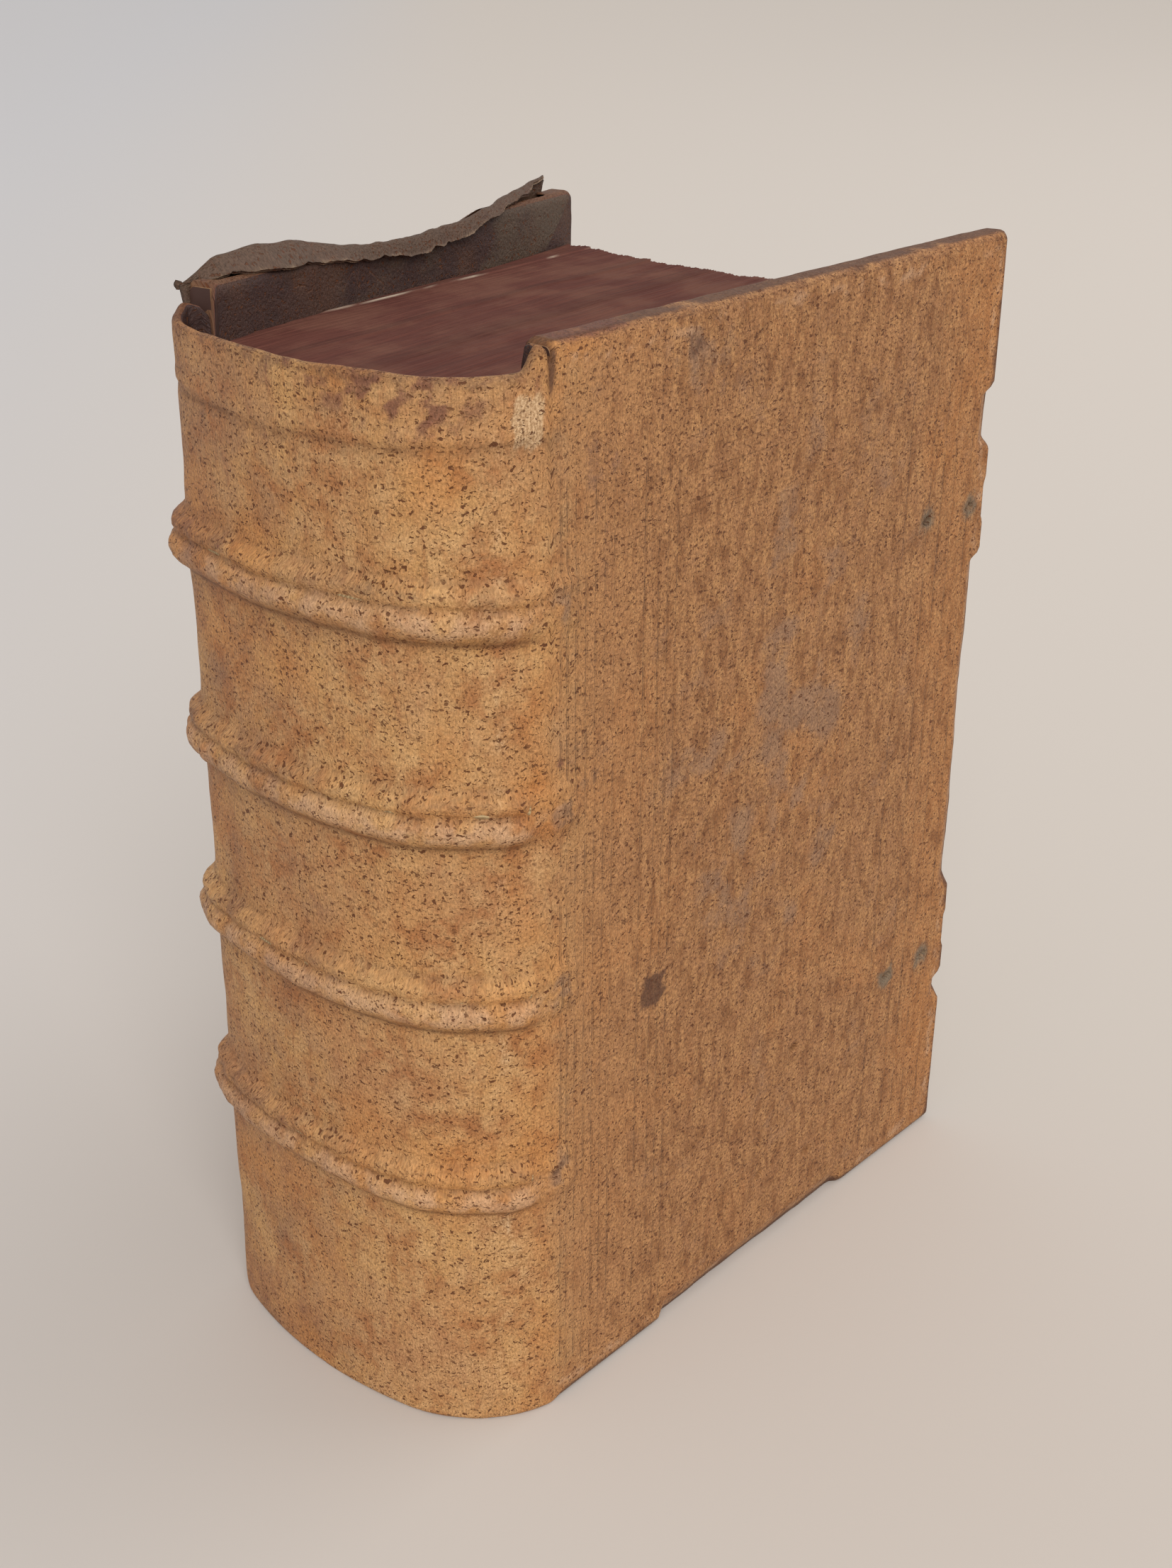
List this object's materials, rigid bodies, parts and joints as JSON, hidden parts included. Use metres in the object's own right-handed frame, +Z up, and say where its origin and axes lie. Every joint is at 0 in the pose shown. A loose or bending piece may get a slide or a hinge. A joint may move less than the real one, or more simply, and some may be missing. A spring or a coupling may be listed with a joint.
{
  "type": "antique leather book",
  "caption": "Thick old leather-covered book on bevelled wooden boards with double raised bands; both covers open.",
  "frame": {"origin": "on the surface the book stands on, under the middle of the box round the book", "axes": "+Z up along the height, +X from the spine to the fore-edge, +Y from the front cover to the back cover"},
  "size_m": [0.16, 0.1033, 0.2149],
  "materials": {
    "pigskin": "worn, matt, tan to brown",
    "board_wood": "aged, bare",
    "leaves": "uncoated rag paper, head edge stained dark red",
    "pastedown_paper": "uncoated, browned",
    "hemp_cord": "twisted cord"
  },
  "bodies": {
    "book_block": {"text_block": "leaves", "spine_leather": "pigskin", "sewing_cords_1": "hemp_cord", "sewing_cords_2": "hemp_cord", "sewing_cords_3": "hemp_cord", "sewing_cords_4": "hemp_cord"},
    "front_cover": {"front_board": "board_wood", "front_cover_leather": "pigskin", "front_pastedown": "pastedown_paper", "front_lacing_1": "hemp_cord", "front_lacing_2": "hemp_cord", "front_lacing_3": "hemp_cord", "front_lacing_4": "hemp_cord"},
    "back_cover": {"back_board": "board_wood", "back_cover_leather": "pigskin", "back_pastedown": "pastedown_paper", "back_lacing_1": "hemp_cord", "back_lacing_2": "hemp_cord", "back_lacing_3": "hemp_cord", "back_lacing_4": "hemp_cord"}
  },
  "joints": [
    {"name": "front_cover_hinge", "type": "hinge", "parent": "book_block", "child": "front_cover", "pos_m": [-0.0545, -0.05104, 0.105], "axis": [0, 0, -1], "range_deg": [0, 110]},
    {"name": "back_cover_hinge", "type": "hinge", "parent": "book_block", "child": "back_cover", "pos_m": [-0.0635, 0.02796, 0.105], "axis": [0, 0, 1], "range_deg": [0, 110]}
  ]
}
